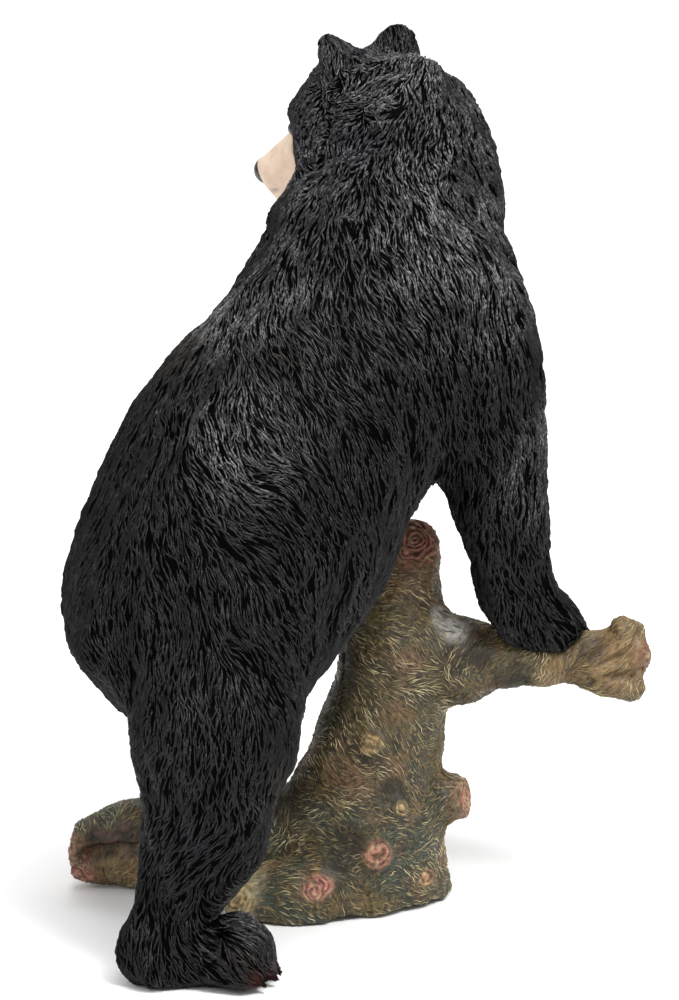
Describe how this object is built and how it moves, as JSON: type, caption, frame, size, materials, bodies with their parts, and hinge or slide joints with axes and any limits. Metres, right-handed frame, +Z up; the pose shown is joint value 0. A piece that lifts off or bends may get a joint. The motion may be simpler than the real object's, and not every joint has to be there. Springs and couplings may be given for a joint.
{
  "type": "bear on tree stump figurine",
  "caption": "Cast resin figurine of a black bear standing with its front paws on the branches of a tree stump and looking back over its shoulder.",
  "frame": {"origin": "middle of the footprint's bounding box, on the surface that the figurine stands on", "axes": "+Z up; the bear's body faces -Y; its left side is +X, and its head looks to +X"},
  "size_m": [0.1354, 0.1726, 0.2624],
  "materials": {
    "coat": "hand-painted black resin with carved fur, tips dry-brushed dark grey, satin",
    "bark": "hand-painted olive-brown resin with golden bark strokes and reddish sawn faces, satin"
  },
  "bodies": {
    "root": {"bear": "coat", "stump": "bark"}
  },
  "joints": []
}
